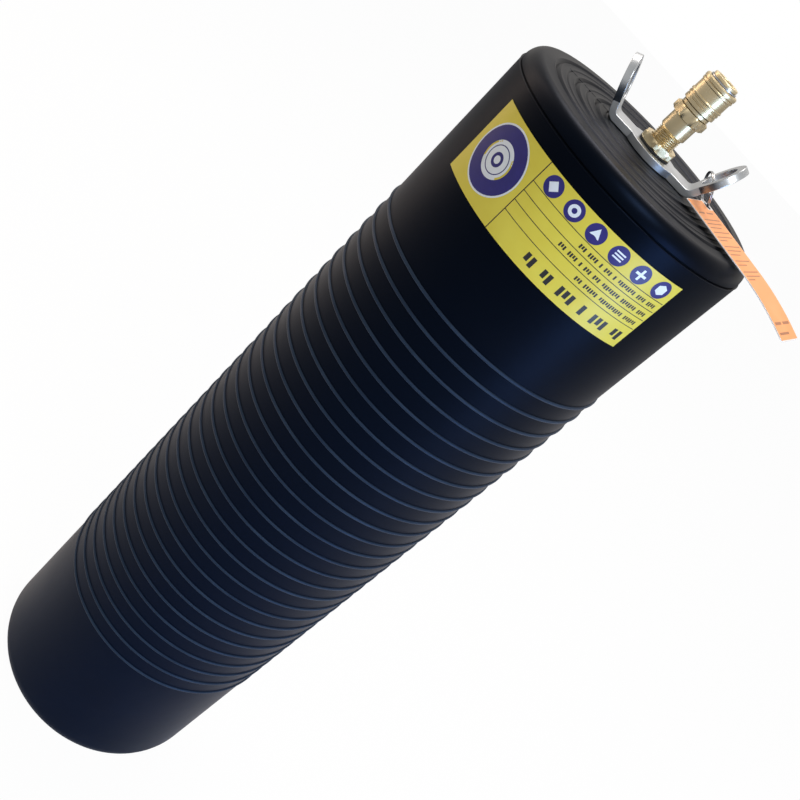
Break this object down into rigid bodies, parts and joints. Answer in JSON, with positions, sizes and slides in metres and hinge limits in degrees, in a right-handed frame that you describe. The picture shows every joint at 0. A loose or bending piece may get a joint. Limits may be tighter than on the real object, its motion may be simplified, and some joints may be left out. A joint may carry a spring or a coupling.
{
  "type": "inflatable pipe plug",
  "caption": "Inflatable pipe plug: ribbed black rubber bladder, steel lifting eyes, brass quick coupling, yellow label and orange tag.",
  "frame": {"origin": "centre of the flat far end, on the surface it stands on", "axes": "+Z along the body to the head and its coupling, +X towards the eye that carries the tag, -Y towards the label"},
  "size_m": [0.2344, 0.1924, 0.71],
  "materials": {
    "rubber": "satin moulded rubber",
    "label_film": "printed film",
    "steel": "bright",
    "brass": "turned brass",
    "zinc_plate": "zinc plated",
    "seal_rubber": "matte",
    "tag_card": "printed plastic card"
  },
  "bodies": {
    "body": {"bladder": "rubber", "label": "label_film", "inner_flange": "steel", "nipple": "brass", "eye_bracket": "zinc_plate", "washer": "seal_rubber", "locknut": "brass", "coupling_body": "brass", "snap_ring": "steel", "nose_seal": "seal_rubber", "ball_1": "steel", "ball_2": "steel", "ball_3": "steel", "ball_4": "steel", "split_ring": "steel"},
    "sleeve": {"coupling_sleeve": "brass", "sleeve_spring": "steel"},
    "valve": {"poppet": "brass", "poppet_seal": "seal_rubber", "poppet_spring": "steel"},
    "tag": {"tag": "tag_card"}
  },
  "joints": [
    {"name": "sleeve_slide", "type": "slide", "parent": "body", "child": "sleeve", "axis": [0, 0, -1], "range_m": [0, 0.0027], "stiffness_N_per_m": 1500, "springref_m": -0.004, "deforming": ["sleeve_spring"]},
    {"name": "valve_slide", "type": "slide", "parent": "body", "child": "valve", "axis": [0, 0, -1], "range_m": [0, 0.003], "stiffness_N_per_m": 900, "springref_m": -0.004, "deforming": ["poppet_spring"]},
    {"name": "tag_swing", "type": "hinge", "parent": "body", "child": "tag", "pos_m": [0.0467, 0.0032, 0.6546], "axis": [-0.3354, -0.9406, -0.0523], "range_deg": [0, 30]}
  ]
}
